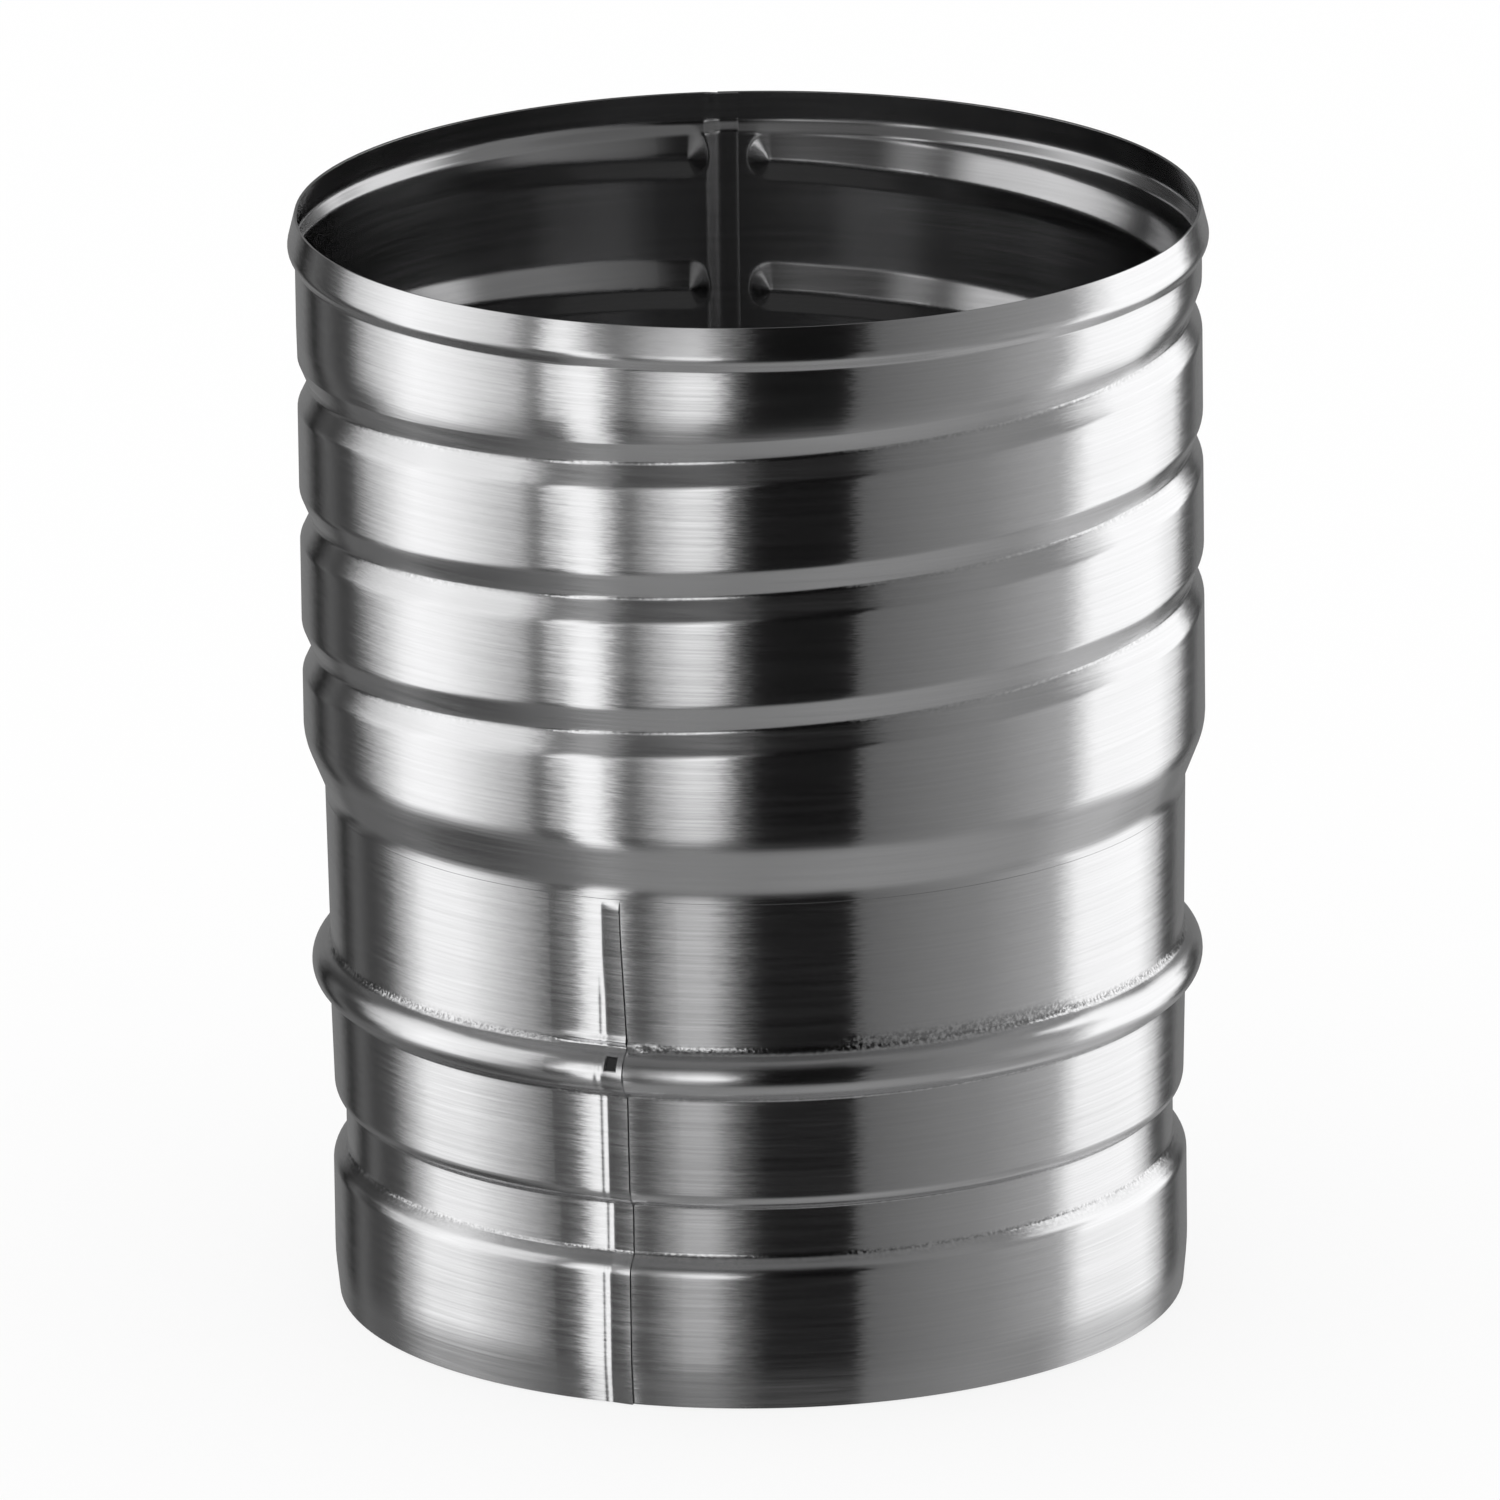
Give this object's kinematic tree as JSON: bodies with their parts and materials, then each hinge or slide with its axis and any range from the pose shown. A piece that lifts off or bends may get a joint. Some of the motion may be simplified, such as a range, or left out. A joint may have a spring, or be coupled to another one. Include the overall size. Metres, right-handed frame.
{
  "type": "flue pipe adapter",
  "caption": "Open stainless tube adapter: a sleeve with a rolled rim and a pressed inner thread for a flue liner, drawn in to a beaded and grooved spigot for a pipe socket.",
  "frame": {"origin": "centre of the spigot's bottom edge, on the tube's axis", "axes": "+Z along the tube's axis, from the spigot to the threaded sleeve's mouth; -Y is the side that the picture shows"},
  "size_m": [0.1598, 0.1598, 0.1946],
  "materials": {
    "stainless_steel": "sheet brushed round the tube, fairly bright"
  },
  "bodies": {
    "root": {"threaded_sleeve": "stainless_steel", "spigot": "stainless_steel"}
  },
  "joints": []
}
